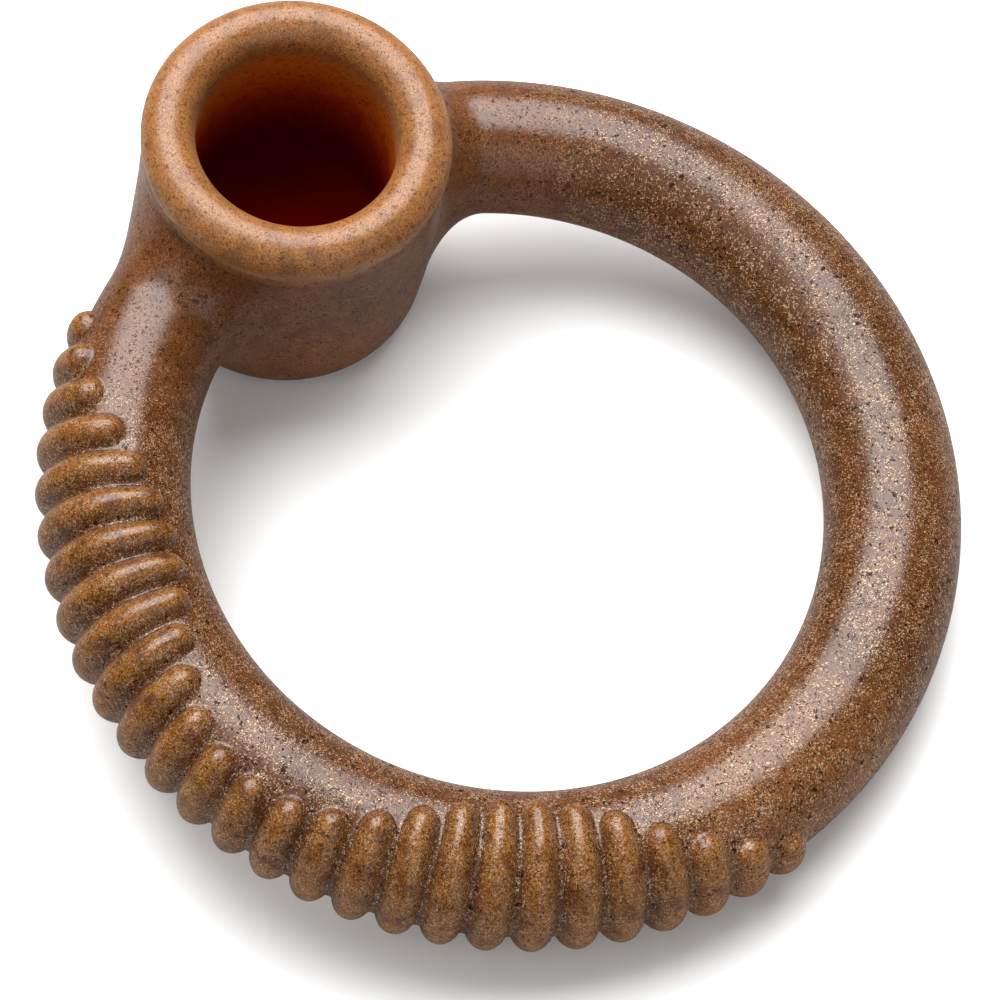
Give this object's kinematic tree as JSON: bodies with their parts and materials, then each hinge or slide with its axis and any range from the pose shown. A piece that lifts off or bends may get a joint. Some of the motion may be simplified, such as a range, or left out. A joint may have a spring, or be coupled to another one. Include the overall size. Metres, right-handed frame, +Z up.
{
  "type": "ring chew toy",
  "caption": "Ring-shaped dog chew of speckled brown nylon with a treat cup moulded into the ring and rounded grip ribs around the outside of one half.",
  "frame": {"origin": "middle of the bounding box at floor level", "axes": "+Z up from the floor the toy lies on; +X from the ring's centre towards the treat cup, as near level as the toy lies; +Y towards the ribbed half"},
  "size_m": [0.1256, 0.1146, 0.0411],
  "materials": {
    "speckled_nylon": "satin speckled brown nylon with pale fibre flecks and dark specks, amber where the moulding is thin"
  },
  "bodies": {
    "root": {"ring": "speckled_nylon", "treat_cup": "speckled_nylon", "rib_01": "speckled_nylon", "rib_02": "speckled_nylon", "rib_03": "speckled_nylon", "rib_04": "speckled_nylon", "rib_05": "speckled_nylon", "rib_06": "speckled_nylon", "rib_07": "speckled_nylon", "rib_08": "speckled_nylon", "rib_09": "speckled_nylon", "rib_10": "speckled_nylon", "rib_11": "speckled_nylon", "rib_12": "speckled_nylon", "rib_13": "speckled_nylon", "rib_14": "speckled_nylon", "rib_15": "speckled_nylon", "rib_16": "speckled_nylon", "rib_17": "speckled_nylon", "rib_18": "speckled_nylon", "rib_19": "speckled_nylon", "rib_20": "speckled_nylon", "rib_21": "speckled_nylon", "rib_22": "speckled_nylon", "rib_23": "speckled_nylon", "rib_24": "speckled_nylon", "rib_25": "speckled_nylon", "rib_26": "speckled_nylon", "rib_27": "speckled_nylon"}
  },
  "joints": []
}
